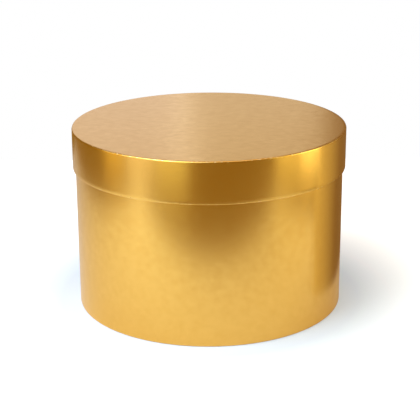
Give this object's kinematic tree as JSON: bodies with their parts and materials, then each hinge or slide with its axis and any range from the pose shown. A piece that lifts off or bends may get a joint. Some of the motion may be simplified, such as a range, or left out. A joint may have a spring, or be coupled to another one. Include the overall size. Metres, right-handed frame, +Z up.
{
  "type": "flower box",
  "caption": "Round rigid hat-style flower box in satin gold paper with a deep lift-off lid and a drop-in waterproof liner.",
  "frame": {"origin": "centre of the underside, on the surface the box stands on", "axes": "+Z up along the box's axis, +Y towards the box's seam at the back, -Y to the front"},
  "size_m": [0.25, 0.25, 0.166],
  "materials": {
    "gold_paper": "satin gold metallised paper, laminated",
    "greyboard": "raw greyboard",
    "lining_paper": "uncoated off-white lining paper",
    "kraft_tape": "brown kraft paper tape",
    "liner_plastic": "thin moulded black plastic"
  },
  "bodies": {
    "box": {"box_wall_board": "greyboard", "box_joint_tape": "kraft_tape", "box_base_board": "greyboard", "box_side_wrap": "gold_paper", "box_base_cover": "gold_paper", "box_wall_lining": "lining_paper", "box_floor_lining": "lining_paper"},
    "lid": {"lid_rim_board": "greyboard", "lid_joint_tape": "kraft_tape", "lid_top_board": "greyboard", "lid_top_cover": "gold_paper", "lid_rim_wrap": "gold_paper", "lid_rim_lining": "lining_paper", "lid_top_lining": "lining_paper"},
    "liner": {"waterproof_liner": "liner_plastic"}
  },
  "joints": [
    {"name": "lid_lift", "type": "slide", "parent": "box", "child": "lid", "axis": [0, 0, 1], "range_m": [0, 0.15]},
    {"name": "liner_lift", "type": "slide", "parent": "box", "child": "liner", "axis": [0, 0, 1], "range_m": [0, 0.1]}
  ]
}
